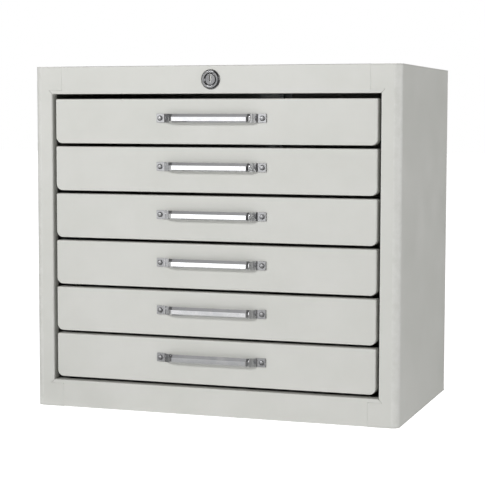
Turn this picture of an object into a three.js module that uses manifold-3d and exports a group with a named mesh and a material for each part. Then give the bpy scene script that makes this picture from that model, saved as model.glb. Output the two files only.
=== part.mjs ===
// A six-drawer steel flat file cabinet for a desk top: a folded sheet-steel case with a rounded front edge
// down each side, six shallow drawers that hang on channel runners, a strap pull on each drawer, and a
// cylinder lock that raises one bar behind all the drawers.
//
// Millimetres. +X to the right, +Y to the back, +Z up. The parts are placed from the middle of the case's
// front plane, at the underside of its bottom sheet. The group at the end moves them, so that the origin
// is at the bottom centre of the whole object.
import * as THREE from "three";
import { mergeVertices } from "three/addons/utils/BufferGeometryUtils.js";
import Module from "manifold-3d";

// ---- Driving dimensions -------------------------------------------------------------------------------
const CASE = { width: 400, depth: 235.5, height: 364.6, sheet: 1, cornerRadius: 8 };
const FRONT = { stile: 20.4, rail: 29, returnDepth: 12, tabWidth: 31.5, mitreStrip: 4 };
const DRAWER = { count: 6, pitch: 50.2, travel: 170, firstTop: 330.4, recess: 1.5 };
const FACE = { width: 352.4, height: 46.9, sheet: 1, rimDepth: 12, cornerRadius: 7 };
const TRAY = { halfWidth: 170, height: 36, sheet: 0.8, rise: 5, back: 217.8, flangeReach: 178 };
const RUNNER = { start: 14, end: 222.5, sheet: 1, inner: 173, throat: 4.2 };
const LUG = { thickness: 2, rise: 2.2, clearance: 0.5 }; // the lugs that stop a drawer when it is fully out
const PULL = { length: 120, holeSpacing: 112, height: 9, reach: 9, strap: 1.6 };
const PULL_BAR = { half: 41.7, legBase: 50.7, facetRise: 0.9, facetDepth: 1 }; // its front edge leans back
const SCREW = { headRadius: 2.8, headHeight: 1.7, headRim: 0.5, crownRadius: 1.68, crownDrop: 0.2 };
const SCREW_SHANK = { radius: 1.5, length: 8 };
const FLANGE = { back: 12, cover: 12, coverEnd: 14 }; // on the sides' back edges, and under the covers
const LOCK = { barrelRadius: 8, barrelLength: 22, plugRadius: 5.5, plugFace: -1.4, plugEnd: 24 };
const BEZEL = { radius: 10.3, height: 2.5, rim: 0.9, slope: 1.6, mouth: 1.2, mouthSlope: 1 };
const KEYWAY = { width: 2, below: 2.2, above: 4.2, depth: 12 };
const NUT = { radius: 12, thickness: 4 };
const LOCK_ROD = { radius: 3, pinRadius: 2 };
const CRANK = { halfWidth: 3.5, overPin: 3, front: 5, rear: 1.5 }; // front and rear: distances from the bar
const ROD_BRACKET = { y: 219.5, sheet: 1.5, halfWidth: 12, foot: 14, drop: 8 };
const LOCK_BAR = { lift: 6, y: 228.5, sheet: 2, left: -13, right: 7, top: 355.6, tail: 24 };
const HOOK = { left: -8, right: 2, reach: 8, sheet: 2, clearance: 1.2 }; // on the bar, under each catch
const BAR_GUIDE = { sheet: 1.2, foot: 10, height: 10 };
const CATCH = { left: -11, right: 5, reach: 8, rise: 25, lip: 8, sheet: 1 };
const FOOT = { radius: 8, height: 3, inset: 26, taper: 0.8 };
const GAP = 0.3; // between sheets that are cut to fit each other
const SEAT = 0.1; // between a piece and the face it is screwed or stuck to
const ROUND_STEPS = 24; // sides of a turned part
const CORNER_STEPS = 6; // chords in a quarter bend

// ---- Worked out from them -----------------------------------------------------------------------------
const halfCase = CASE.width / 2;
const openingHalf = halfCase - FRONT.stile;
const openingTop = CASE.height - FRONT.rail;
const openingBottom = FRONT.rail;
const insideHalf = halfCase - CASE.sheet; // inner faces of the sides
const insideTop = CASE.height - CASE.sheet;
const backPanelFront = CASE.depth - 2 * CASE.sheet - GAP;
const lockZ = CASE.height - FRONT.rail / 2;
const pullFront = DRAWER.recess - PULL.reach;
const faceTop = (n) => DRAWER.firstTop - (n - 1) * DRAWER.pitch;
const faceBottom = (n) => faceTop(n) - FACE.height;
const trayBottom = (n) => faceBottom(n) + TRAY.rise;
const flangeUnder = (n) => trayBottom(n) + TRAY.height - TRAY.sheet;
const catchTop = (n) => trayBottom(n) + CATCH.rise;
const pinDrop = LOCK_BAR.lift / 2;

// ---- Finishes -----------------------------------------------------------------------------------------
/** A plain standard material. */
function finish(color, roughness, metalness) {
  return new THREE.MeshStandardMaterial({ color, roughness, metalness });
}

const FINISH = {
  paint: finish(0xd0d0cb, 0.5, 0.0), // light grey baked enamel
  zinc: finish(0xa9acad, 0.42, 0.9), // zinc-plated steel inside the case
  chrome: finish(0xdcdcde, 0.12, 1.0), // pulls, screws and lock
  rubber: finish(0x1d1d1e, 0.85, 0.0),
};

// ---- Joining and cutting ------------------------------------------------------------------------------
const wasm = await Module();
wasm.setup();

/** A three.js geometry as a manifold solid: only positions are kept, so that shared corners merge. */
function toSolid(geometry) {
  const bare = geometry.clone();
  bare.deleteAttribute("normal");
  bare.deleteAttribute("uv");
  const merged = mergeVertices(bare, 1e-4);
  const vertProperties = merged.attributes.position.array;
  const triVerts = new Uint32Array(merged.index.array);
  return new wasm.Manifold(new wasm.Mesh({ numProp: 3, vertProperties, triVerts }));
}

/** A manifold solid as a three.js geometry. */
function toGeometry(solid) {
  const { vertProperties, triVerts } = solid.getMesh();
  const geometry = new THREE.BufferGeometry();
  geometry.setAttribute("position", new THREE.BufferAttribute(new Float32Array(vertProperties), 3));
  geometry.setIndex(new THREE.BufferAttribute(new Uint32Array(triVerts), 1));
  geometry.computeVertexNormals();
  return geometry;
}

/** One geometry from several that touch or overlap. */
function join(...geometries) {
  return toGeometry(geometries.map(toSolid).reduce((all, next) => all.add(next)));
}

/** The first geometry with the others cut out of it. */
function cut(geometry, ...tools) {
  return toGeometry(tools.map(toSolid).reduce((left, tool) => left.subtract(tool), toSolid(geometry)));
}

// ---- Shapes -------------------------------------------------------------------------------------------
/** A box from its low and high limits on each axis. */
function block([x0, x1], [y0, y1], [z0, z1]) {
  const box = new THREE.BoxGeometry(x1 - x0, y1 - y0, z1 - z0);
  return box.translate((x0 + x1) / 2, (y0 + y1) / 2, (z0 + z1) / 2);
}

/** A plan outline (X, Y) raised from z0 to z1. */
function raised(shape, z0, z1) {
  const options = { depth: z1 - z0, bevelEnabled: false, curveSegments: CORNER_STEPS };
  return new THREE.ExtrudeGeometry(shape, options).translate(0, 0, z0);
}

/** A front outline (X, Z) pushed back from y0 to y1. */
function pushed(shape, y0, y1, curveSegments = CORNER_STEPS) {
  const options = { depth: y1 - y0, bevelEnabled: false, curveSegments };
  return new THREE.ExtrudeGeometry(shape, options).rotateX(Math.PI / 2).translate(0, y1, 0);
}

/** A polygon through the given points. */
const polygon = (points) => new THREE.Shape(points.map(([a, b]) => new THREE.Vector2(a, b)));

/** A round bar along Y. */
function roundBar(radius, x, z, y0, y1, sides = ROUND_STEPS) {
  return new THREE.CylinderGeometry(radius, radius, y1 - y0, sides).translate(x, (y0 + y1) / 2, z);
}

/** A turned part about an axis along Y: the profile holds [radius, y] pairs. */
function turned(profile, x, z) {
  const points = profile.map(([r, y]) => new THREE.Vector2(r, y));
  return new THREE.LatheGeometry(points, ROUND_STEPS).translate(x, 0, z);
}

/** The same geometry reflected in the plane x = 0, with its faces turned back outwards. */
function mirrored(geometry) {
  const copy = geometry.clone().scale(-1, 1, 1);
  const corners = copy.index.array;
  for (let i = 0; i < corners.length; i += 3) {
    [corners[i + 1], corners[i + 2]] = [corners[i + 2], corners[i + 1]];
  }
  copy.computeVertexNormals();
  return copy;
}

const cabinet = new THREE.Group();
cabinet.name = "flat_file_cabinet";

/** Adds one named piece. */
function piece(name, geometry, material) {
  const mesh = new THREE.Mesh(geometry, material);
  mesh.name = name;
  cabinet.add(mesh);
}

// ---- Case ---------------------------------------------------------------------------------------------
/** The case's footprint: square at the back and rounded at the front, moved in by inset. */
function footprint(inset) {
  const half = halfCase - inset;
  const front = inset;
  const back = CASE.depth - inset;
  const r = CASE.cornerRadius - inset;
  const shape = new THREE.Shape();
  shape.moveTo(-half, back);
  shape.lineTo(-half, front + r);
  shape.absarc(-half + r, front + r, r, Math.PI, 1.5 * Math.PI);
  shape.lineTo(half - r, front);
  shape.absarc(half - r, front + r, r, 1.5 * Math.PI, 2 * Math.PI);
  shape.lineTo(half, back);
  shape.closePath();
  return shape;
}

/** The right side: one sheet that turns the front corner into the stile, with a return round the opening,
 *  a wider tab at each end of the stile, and a flange at the back. */
function rightSide() {
  const low = CASE.sheet + GAP;
  const high = CASE.height - CASE.sheet - GAP;
  const shell = cut(
    raised(footprint(0), low, high),
    raised(footprint(CASE.sheet), low - 1, high + 1),
    block([-halfCase - 1, halfCase - FRONT.tabWidth], [-1, CASE.depth + 1], [low - 1, high + 1]),
  );
  const tabStart = halfCase - FRONT.tabWidth - 1;
  const opening = block(
    [tabStart, openingHalf],
    [-1, CASE.sheet + 1],
    [openingBottom - FRONT.mitreStrip, openingTop + FRONT.mitreStrip],
  );
  const backOpening = block(
    [tabStart, halfCase - FLANGE.back],
    [CASE.depth - CASE.sheet - 1, CASE.depth + 1],
    [low - 1, high + 1],
  );
  const reveal = block(
    [openingHalf, openingHalf + CASE.sheet],
    [0, FRONT.returnDepth],
    [openingBottom + GAP, openingTop - GAP],
  );
  return join(cut(shell, opening, backOpening), reveal);
}

/** A cover sheet with its front rail, the rail's return and two side flanges. The top cover is drawn, and
 *  the bottom one is the same sheet turned over, without the lock's hole. */
function cover(isTop) {
  const flip = isTop ? (z) => z : (z) => CASE.height - z;
  const span = (a, b) => [Math.min(flip(a), flip(b)), Math.max(flip(a), flip(b))];
  const railHalf = halfCase - FRONT.tabWidth - GAP;
  const stripHalf = openingHalf - GAP;
  const plateZ = span(CASE.height - CASE.sheet, CASE.height);
  const flangeX = [insideHalf - GAP - CASE.sheet, insideHalf - GAP];
  const flangeY = [FRONT.returnDepth, CASE.depth - FLANGE.coverEnd];
  const flangeZ = span(CASE.height - FLANGE.cover, CASE.height - CASE.sheet);
  const made = join(
    raised(footprint(0), ...plateZ),
    block([-railHalf, railHalf], [0, CASE.sheet], span(openingTop, CASE.height - CASE.sheet)),
    block([-stripHalf, stripHalf], [0, CASE.sheet], span(openingTop, openingTop + FRONT.mitreStrip - GAP)),
    block([-stripHalf, stripHalf], [0, FRONT.returnDepth], span(openingTop, openingTop + CASE.sheet)),
    block(flangeX, flangeY, flangeZ),
    block(flangeX.map((x) => -x).reverse(), flangeY, flangeZ),
  );
  return isTop ? cut(made, roundBar(LOCK.barrelRadius + GAP, 0, lockZ, -1, CASE.sheet + 1)) : made;
}

/** The back sheet, inside the flanges of the sides. */
function backPanel() {
  const half = insideHalf - GAP;
  const z = [CASE.sheet + GAP, insideTop - GAP];
  return block([-half, half], [backPanelFront, backPanelFront + CASE.sheet], z);
}

const side = rightSide();
piece("case_right_side", side, FINISH.paint);
piece("case_left_side", mirrored(side), FINISH.paint);
piece("case_top", cover(true), FINISH.paint);
piece("case_bottom", cover(false), FINISH.paint);
piece("case_back", backPanel(), FINISH.paint);

// ---- Feet ---------------------------------------------------------------------------------------------
for (const [end, y] of [["front", FOOT.inset], ["rear", CASE.depth - FOOT.inset]]) {
  for (const [hand, x] of [["left", FOOT.inset - halfCase], ["right", halfCase - FOOT.inset]]) {
    const height = FOOT.height - SEAT;
    const pad = new THREE.CylinderGeometry(FOOT.radius, FOOT.radius - FOOT.taper, height, ROUND_STEPS);
    pad.rotateX(Math.PI / 2).translate(x, y, -(FOOT.height + SEAT) / 2);
    piece(`foot_${end}_${hand}`, pad, FINISH.rubber);
  }
}

// ---- Runners ------------------------------------------------------------------------------------------
/** A right-hand channel runner, with a lug near its front that stops the drawer. */
function rightRunner(n) {
  const under = flangeUnder(n) - GAP; // the drawer's flange rides just above this
  const over = under + RUNNER.throat;
  const outer = insideHalf - GAP;
  const channel = polygon([
    [RUNNER.inner, under - RUNNER.sheet],
    [outer, under - RUNNER.sheet],
    [outer, over + RUNNER.sheet],
    [RUNNER.inner, over + RUNNER.sheet],
    [RUNNER.inner, over],
    [outer - RUNNER.sheet, over],
    [outer - RUNNER.sheet, under],
    [RUNNER.inner, under],
  ]);
  const stopRear = TRAY.back - LUG.thickness - DRAWER.travel - LUG.clearance;
  const stop = block(
    [RUNNER.inner + LUG.clearance, TRAY.flangeReach],
    [stopRear - LUG.thickness, stopRear],
    [under + LUG.thickness, over + RUNNER.sheet / 2],
  );
  return join(pushed(channel, RUNNER.start, RUNNER.end), stop);
}

for (let n = 1; n <= DRAWER.count; n += 1) {
  const runner = rightRunner(n);
  piece(`runner_${n}_right`, runner, FINISH.zinc);
  piece(`runner_${n}_left`, mirrored(runner), FINISH.zinc);
}

// ---- Drawers ------------------------------------------------------------------------------------------
/** A drawer face's outline: square above and rounded below, moved in by inset. */
function faceOutline(n, inset) {
  const half = FACE.width / 2 - inset;
  const top = faceTop(n) - inset;
  const bottom = faceBottom(n) + inset;
  const r = FACE.cornerRadius - inset;
  const shape = new THREE.Shape();
  shape.moveTo(-half, top);
  shape.lineTo(-half, bottom + r);
  shape.absarc(-half + r, bottom + r, r, Math.PI, 1.5 * Math.PI);
  shape.lineTo(half - r, bottom);
  shape.absarc(half - r, bottom + r, r, 1.5 * Math.PI, 2 * Math.PI);
  shape.lineTo(half, top);
  shape.closePath();
  return shape;
}

const pullZ = (n) => faceTop(n) - 20;
const screwHoles = (n, y0, y1) =>
  [-1, 1].map((s) => roundBar(SCREW_SHANK.radius + GAP, (s * PULL.holeSpacing) / 2, pullZ(n), y0, y1, 12));

/** The face: a shallow pan of sheet steel, open at the back. */
function drawerFace(n) {
  const front = DRAWER.recess;
  const pan = pushed(faceOutline(n, 0), front, front + FACE.rimDepth);
  const hollow = pushed(faceOutline(n, FACE.sheet), front + FACE.sheet, front + FACE.rimDepth + 1);
  return cut(pan, hollow, ...screwHoles(n, front - 1, front + FACE.sheet + 1));
}

/** The tray: an open box with a flange along each side that hangs in the runners, a lug that meets the
 *  runner's stop, and a hooked catch at the back for the lock bar. */
function drawerTray(n) {
  const front = DRAWER.recess + FACE.sheet + GAP;
  const low = trayBottom(n);
  const high = low + TRAY.height;
  const t = TRAY.sheet;
  const half = TRAY.halfWidth;
  const box = cut(
    block([-half, half], [front, TRAY.back], [low, high]),
    block([-half + t, half - t], [front + t, TRAY.back - t], [low + t, high + 1]),
  );
  const flangeFront = DRAWER.recess + FACE.rimDepth + 1;
  const sides = [-1, 1].flatMap((s) => {
    const across = (a, b) => [Math.min(s * a, s * b), Math.max(s * a, s * b)];
    return [
      block(across(half - t, TRAY.flangeReach), [flangeFront, TRAY.back], [high - t, high]),
      block(
        across(RUNNER.inner + LUG.clearance, TRAY.flangeReach),
        [TRAY.back - LUG.thickness, TRAY.back],
        [high - t, high + LUG.rise],
      ),
    ];
  });
  const catchX = [CATCH.left, CATCH.right];
  const top = catchTop(n);
  const end = TRAY.back + CATCH.reach;
  const tray = join(
    box,
    ...sides,
    block(catchX, [TRAY.back - t, end], [top - CATCH.sheet, top]),
    block(catchX, [end - CATCH.sheet, end], [top - CATCH.lip, top]),
  );
  return cut(tray, ...screwHoles(n, front - 1, front + t + 1));
}

/** A strap pull: a foot at each end, two sloping legs and a bar whose upper front edge is turned back. */
function pull(n) {
  const end = PULL.length / 2;
  const face = DRAWER.recess - SEAT;
  const bar = face - PULL.reach + SEAT;
  const bend = Math.atan2(PULL.reach - PULL.strap, PULL_BAR.legBase - PULL_BAR.half);
  const lean = PULL.strap * Math.tan(bend / 2); // how far a bend's inner corner lies inside its outer one
  const half = [
    [end, face],
    [PULL_BAR.legBase - lean, face],
    [PULL_BAR.half - lean, bar + PULL.strap],
  ];
  const outer = [
    [PULL_BAR.half, bar],
    [PULL_BAR.legBase, face - PULL.strap],
    [end, face - PULL.strap],
  ];
  const left = (points) => points.map(([x, y]) => [-x, y]).reverse();
  const plan = polygon([...half, ...left(half), ...left(outer), ...outer]);
  const z = pullZ(n);
  const strap = raised(plan, z - PULL.height / 2, z + PULL.height / 2);
  const slope = polygon([
    [bar - 1, z + PULL_BAR.facetRise - 1],
    [bar, z + PULL_BAR.facetRise],
    [bar + PULL_BAR.facetDepth, z + PULL.height / 2],
    [bar + PULL_BAR.facetDepth, z + PULL.height],
    [bar - 1, z + PULL.height],
  ]);
  const shave = new THREE.ExtrudeGeometry(slope, { depth: 2 * PULL_BAR.half, bevelEnabled: false });
  // The profile is drawn in (Y, Z): turn its own X, Y and depth into Y, Z and X.
  shave.applyMatrix4(new THREE.Matrix4().makeBasis(
    new THREE.Vector3(0, 1, 0),
    new THREE.Vector3(0, 0, 1),
    new THREE.Vector3(1, 0, 0),
  ));
  shave.translate(-PULL_BAR.half, 0, 0);
  return cut(strap, shave, ...screwHoles(n, face - PULL.strap - 1, face + 1));
}

/** A pan-head screw through a pull's foot, the face and the tray. */
function pullScrew(n, x) {
  const seat = DRAWER.recess - SEAT - PULL.strap - SEAT;
  const crown = seat - SCREW.headHeight;
  return turned(
    [
      [0, crown],
      [SCREW.crownRadius, crown + SCREW.crownDrop],
      [SCREW.headRadius, seat - SCREW.headRim],
      [SCREW.headRadius, seat],
      [SCREW_SHANK.radius, seat],
      [SCREW_SHANK.radius, seat + SCREW_SHANK.length],
      [0, seat + SCREW_SHANK.length],
    ],
    x,
    pullZ(n),
  );
}

for (let n = 1; n <= DRAWER.count; n += 1) {
  piece(`drawer_${n}_face`, drawerFace(n), FINISH.paint);
  piece(`drawer_${n}_tray`, drawerTray(n), FINISH.paint);
  piece(`drawer_${n}_pull`, pull(n), FINISH.chrome);
  piece(`drawer_${n}_screw_left`, pullScrew(n, -PULL.holeSpacing / 2), FINISH.chrome);
  piece(`drawer_${n}_screw_right`, pullScrew(n, PULL.holeSpacing / 2), FINISH.chrome);
}

// ---- Lock ---------------------------------------------------------------------------------------------
/** The lock's fixed body: a domed bezel on the rail and a barrel through it. */
function lockHousing() {
  const bore = LOCK.plugRadius + GAP;
  return turned(
    [
      [bore, -BEZEL.mouth],
      [bore + BEZEL.mouthSlope, -BEZEL.height],
      [BEZEL.radius - BEZEL.slope, -BEZEL.height],
      [BEZEL.radius, -BEZEL.rim],
      [BEZEL.radius, -SEAT],
      [LOCK.barrelRadius, -SEAT],
      [LOCK.barrelRadius, LOCK.barrelLength],
      [bore, LOCK.barrelLength],
      [bore, -BEZEL.mouth],
    ],
    0,
    lockZ,
  );
}

/** The turning plug, with its keyway upright when the drawers are free. */
function lockPlug() {
  const plug = roundBar(LOCK.plugRadius, 0, lockZ, LOCK.plugFace, LOCK.plugEnd);
  const keyway = block(
    [-KEYWAY.width / 2, KEYWAY.width / 2],
    [LOCK.plugFace - 1, KEYWAY.depth],
    [lockZ - KEYWAY.below, lockZ + KEYWAY.above],
  );
  return cut(plug, keyway);
}

/** The ring nut that holds the barrel to the rail. */
function lockNut() {
  const hexagon = new THREE.Shape();
  for (let corner = 0; corner < 6; corner += 1) {
    const turn = (corner * Math.PI) / 3;
    const point = [NUT.radius * Math.cos(turn), lockZ + NUT.radius * Math.sin(turn)];
    if (corner === 0) hexagon.moveTo(...point);
    else hexagon.lineTo(...point);
  }
  hexagon.closePath();
  const front = CASE.sheet + SEAT;
  const nut = pushed(hexagon, front, front + NUT.thickness);
  return cut(nut, roundBar(LOCK.barrelRadius + GAP, 0, lockZ, 0, front + NUT.thickness + 1));
}

/** The rod from the plug to the back, with a crank and a pin. The pin starts 45 degrees below level on
 *  the left and a quarter turn takes it as far above, so the bar rises by twice the pin's first drop. */
function lockRod() {
  const crankY = [LOCK_BAR.y - CRANK.front, LOCK_BAR.y - CRANK.rear];
  const arm = Math.hypot(pinDrop, pinDrop);
  const half = CRANK.halfWidth;
  const crank = block([-arm - CRANK.overPin, half], crankY, [-half, half]);
  crank.rotateY(-Math.PI / 4).translate(0, 0, lockZ);
  const pinEnd = LOCK_BAR.y + LOCK_BAR.sheet + CRANK.rear;
  return join(
    roundBar(LOCK_ROD.radius, 0, lockZ, LOCK.plugEnd + GAP, crankY[1], 16),
    crank,
    roundBar(LOCK_ROD.pinRadius, -pinDrop, lockZ - pinDrop, crankY[0] + 1, pinEnd, 12),
  );
}

/** The bracket under the top sheet that carries the rod's back end. */
function rodBracket() {
  const top = insideTop - SEAT;
  const rear = ROD_BRACKET.y + ROD_BRACKET.sheet;
  const x = [-ROD_BRACKET.halfWidth, ROD_BRACKET.halfWidth];
  const bracket = join(
    block(x, [ROD_BRACKET.y, rear], [lockZ - ROD_BRACKET.drop, top]),
    block(x, [ROD_BRACKET.y - ROD_BRACKET.foot, rear], [top - ROD_BRACKET.sheet, top]),
  );
  return cut(bracket, roundBar(LOCK_ROD.radius + GAP, 0, lockZ, ROD_BRACKET.y - 1, rear + 1, 16));
}

/** The bar behind the drawers: a slot for the crank's pin, and a hook under each drawer's catch. */
function lockBar() {
  const y = [LOCK_BAR.y, LOCK_BAR.y + LOCK_BAR.sheet];
  const lipUnder = (n) => catchTop(n) - CATCH.lip;
  const hookTop = (n) => lipUnder(n) - HOOK.clearance;
  const bottom = hookTop(DRAWER.count) - LOCK_BAR.tail;
  const strip = block([LOCK_BAR.left, LOCK_BAR.right], y, [bottom, LOCK_BAR.top]);
  const front = LOCK_BAR.y - HOOK.reach;
  const x = [HOOK.left, HOOK.right];
  const hooks = Array.from({ length: DRAWER.count }, (_, i) => {
    const top = hookTop(i + 1);
    const throat = top - LOCK_BAR.lift - HOOK.sheet;
    return join(
      block(x, [front, y[1]], [throat - HOOK.sheet, throat]),
      block(x, [front, front + HOOK.sheet], [throat - HOOK.sheet, top]),
    );
  });
  const clear = LOCK_ROD.pinRadius + GAP;
  const bulge = pinDrop * (Math.SQRT2 - 1); // how far the pin swings outwards at half turn
  const slot = block(
    [-pinDrop - bulge - clear, -pinDrop + clear],
    [y[0] - 1, y[1] + 1],
    [lockZ - pinDrop - clear - SEAT, lockZ - pinDrop + clear + SEAT],
  );
  return cut(join(strip, ...hooks), slot);
}

/** A bridge on the back panel that keeps the bar upright. */
function barGuide(z) {
  const back = backPanelFront - SEAT;
  const front = LOCK_BAR.y - GAP;
  const t = BAR_GUIDE.sheet;
  const [x0, x1] = [LOCK_BAR.left - GAP, LOCK_BAR.right + GAP];
  const bridge = polygon([
    [x0 - BAR_GUIDE.foot, back],
    [x0 - BAR_GUIDE.foot, back - t],
    [x0 - t, back - t],
    [x0 - t, front - t],
    [x1 + t, front - t],
    [x1 + t, back - t],
    [x1 + BAR_GUIDE.foot, back - t],
    [x1 + BAR_GUIDE.foot, back],
    [x1, back],
    [x1, front],
    [x0, front],
    [x0, back],
  ]);
  return raised(bridge, z, z + BAR_GUIDE.height);
}

piece("lock_housing", lockHousing(), FINISH.chrome);
piece("lock_plug", lockPlug(), FINISH.chrome);
piece("lock_nut", lockNut(), FINISH.zinc);
piece("lock_rod", lockRod(), FINISH.zinc);
piece("lock_rod_bracket", rodBracket(), FINISH.zinc);
piece("lock_bar", lockBar(), FINISH.zinc);
piece("lock_bar_guide_upper", barGuide(faceTop(1)), FINISH.zinc);
piece("lock_bar_guide_lower", barGuide(faceBottom(DRAWER.count) - 2), FINISH.zinc);

// The origin: bottom centre of everything, from the pulls' front to the case's back.
cabinet.position.set(0, -(pullFront + CASE.depth) / 2, FOOT.height);
export default cabinet;
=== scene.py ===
# %% [markdown]
# # A desk-top flat file cabinet in folded sheet steel
# The cabinet is a painted steel case with six shallow drawers. Nearly every visible piece is a flat sheet
# that was cut, folded along straight lines, spot-welded and baked with grey enamel. The pulls and the lock
# are bought-in plated parts. The working model already holds every size and joint, so this lesson builds
# the finish on top of it: soft bends, cut edges, turned and pressed metal, and the surfaces themselves.

# %% Load the working model
import math

import bmesh
import bpy
from mathutils import Matrix, Vector


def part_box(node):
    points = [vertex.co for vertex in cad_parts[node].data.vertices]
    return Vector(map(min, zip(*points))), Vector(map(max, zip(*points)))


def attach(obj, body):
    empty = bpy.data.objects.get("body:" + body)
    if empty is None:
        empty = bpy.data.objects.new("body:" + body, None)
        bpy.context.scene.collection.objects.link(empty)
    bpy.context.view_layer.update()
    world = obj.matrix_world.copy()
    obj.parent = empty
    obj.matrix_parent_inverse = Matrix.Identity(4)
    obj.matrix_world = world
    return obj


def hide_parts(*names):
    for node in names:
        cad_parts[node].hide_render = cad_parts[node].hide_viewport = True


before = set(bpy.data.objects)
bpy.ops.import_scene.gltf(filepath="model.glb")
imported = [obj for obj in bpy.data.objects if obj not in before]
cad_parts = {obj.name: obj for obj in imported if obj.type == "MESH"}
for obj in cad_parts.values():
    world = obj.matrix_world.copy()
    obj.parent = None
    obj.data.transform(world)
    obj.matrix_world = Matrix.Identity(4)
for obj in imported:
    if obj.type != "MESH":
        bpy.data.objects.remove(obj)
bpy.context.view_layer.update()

# %% [markdown]
# ## Measures that every piece shares
# All the sheet parts meet at the same few planes: the front of the case, its top, bottom, sides and back.
# They could be typed in again, but then a change to the model would leave the finish behind. Reading them
# from the boxes of the model's own parts keeps both in step. Only what a box can't tell, such as the width
# of a rail, is stated as a number.

# %% The case's planes, and the widths of its front frame
MM = 0.001
cover_low, cover_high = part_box("case_top")
floor_low, floor_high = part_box("case_bottom")
HALF_WIDTH = cover_high.x
FRONT = cover_low.y
BACK = cover_high.y
TOP = cover_high.z
BOTTOM = floor_low.z
SHEET = 1.0 * MM
RAIL = 29.0 * MM
STILE = 20.4 * MM
TAB = 31.5 * MM
RETURN = 12.0 * MM
CORNER_RADIUS = 8.0 * MM
OPENING_HALF = HALF_WIDTH - STILE
OPENING_TOP = TOP - RAIL
OPENING_BOTTOM = BOTTOM + RAIL
DRAWERS = range(1, 7)
case_size = (2 * HALF_WIDTH, BACK - FRONT, TOP - BOTTOM)
print("case in mm:", [round(length / MM, 1) for length in case_size])

# %% [markdown]
# ## Node groups: small effects that several finishes use
# Enamel, plating and rubber all collect dust, get rubbed and aren't perfectly even. Painting each effect
# into each material would repeat the same nodes many times. A shader node group is built once, shows its
# settings as named inputs, and is then placed in each material with that material's own values. Noise on
# Object coordinates is measured in metres, so a scale of 1000 gives spots about a millimetre wide.

# %% A helper that starts a node group, and one that places and wires nodes
def start_group(name, inputs, outputs):
    """An empty shader node group with named sockets: each is (name, socket type, starting value)."""
    group = bpy.data.node_groups.new(name, "ShaderNodeTree")
    for title, kind, value in inputs:
        socket = group.interface.new_socket(title, in_out="INPUT", socket_type=kind)
        socket.default_value = value
    for title, kind in outputs:
        group.interface.new_socket(title, in_out="OUTPUT", socket_type=kind)
    entry = group.nodes.new("NodeGroupInput")
    leave = group.nodes.new("NodeGroupOutput")
    return group, entry.outputs, leave.inputs


def add_node(tree, kind, settings=None, **wires):
    """A node with its settings and inputs. A wire is either a plain value or another node's output."""
    node = tree.nodes.new("ShaderNode" + kind)
    for name, value in (settings or {}).items():
        setattr(node, name, value)
    for title, value in wires.items():
        socket = node.inputs[int(title[1:])] if title[0] == "_" else node.inputs[title.replace("_", " ")]
        if isinstance(value, bpy.types.NodeSocket):
            tree.links.new(value, socket)
        else:
            socket.default_value = value
    return node


def noise(tree, position, scale, detail=2.0, roughness=0.5):
    """The value of a noise texture, from 0 to 1."""
    made = add_node(tree, "TexNoise", Vector=position, Scale=scale, Detail=detail, Roughness=roughness)
    return made.outputs["Fac"]


def window(tree, value, low, high, to_low=0.0, to_high=1.0):
    """Stretches the part of a value between low and high to a new span, and clamps the rest."""
    made = add_node(tree, "MapRange", {"clamp": True}, _0=value, _1=low, _2=high, _3=to_low, _4=to_high)
    return made.outputs[0]


def combine(tree, operation, first, second):
    """One step of arithmetic on two values."""
    return add_node(tree, "Math", {"operation": operation}, _0=first, _1=second).outputs[0]


def stretch(tree, position, scales):
    """A position scaled by its own amount along each axis."""
    return add_node(tree, "VectorMath", {"operation": "MULTIPLY"}, _0=position, _1=scales).outputs[0]


# %% [markdown]
# ### Orange peel
# Sprayed enamel never dries dead flat. It shrinks into low hills a millimetre or two apart, with longer
# waves below them from the rolled sheet itself. Two noises added together give a height that a Bump node
# can use, and the same long waves drive a faint change of tone.

# %% The sprayed-coat group
def make_sprayed_coat():
    group, given, result = start_group(
        "sprayed coat",
        [("Peel size", "NodeSocketFloat", 620.0), ("Sheet waves", "NodeSocketFloat", 0.6)],
        [("Height", "NodeSocketFloat"), ("Tone", "NodeSocketFloat")],
    )
    here = add_node(group, "TexCoord").outputs["Object"]
    peel = noise(group, here, given["Peel size"], detail=1.5)
    waves = noise(group, here, 14.0, detail=2.0)
    blotches = noise(group, here, 38.0, detail=4.0, roughness=0.6)
    lifted = combine(group, "MULTIPLY", waves, given["Sheet waves"])
    height = combine(group, "ADD", peel, lifted)
    group.links.new(height, result["Height"])
    mottle = combine(group, "MULTIPLY", blotches, 0.4)
    group.links.new(combine(group, "ADD", combine(group, "MULTIPLY", waves, 0.6), mottle), result["Tone"])
    return group


SPRAYED_COAT = make_sprayed_coat()
print("group:", SPRAYED_COAT.name)

# %% [markdown]
# ### Rubbed edges, and a painted highlight on bends
# A bend is where hands, cloths and neighbouring drawers rub, so its coat is thinner and smoother. The
# meshes below carry a number named "bend" on every face corner, 0 on flat sheet and 1 along the middle of
# a bend. The group breaks that number up with noise, so the wear isn't an even stripe. Where the enamel
# uses it, the lighter colour on bends is partly a painted highlight.

# %% The rubbed-edge group
def make_rubbed_edge():
    group, given, result = start_group(
        "rubbed edge",
        [("Amount", "NodeSocketFloat", 0.5), ("Break-up size", "NodeSocketFloat", 120.0)],
        [("Mask", "NodeSocketFloat")],
    )
    bend = add_node(group, "Attribute", {"attribute_name": "bend"}).outputs["Fac"]
    here = add_node(group, "TexCoord").outputs["Object"]
    speckle = noise(group, here, given["Break-up size"], detail=5.0, roughness=0.65)
    patches = window(group, speckle, 0.35, 0.65)
    broken = combine(group, "MULTIPLY", bend, patches)
    group.links.new(combine(group, "MULTIPLY", broken, given["Amount"]), result["Mask"])
    return group


RUBBED_EDGE = make_rubbed_edge()
print("group:", RUBBED_EDGE.name)

# %% [markdown]
# ### Settled dust
# Dust lies where a surface faces up, in an uneven film. The upward part of the surface normal picks those
# faces, and a noise thins the film out. It lightens the colour a little and takes the shine off.

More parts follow.
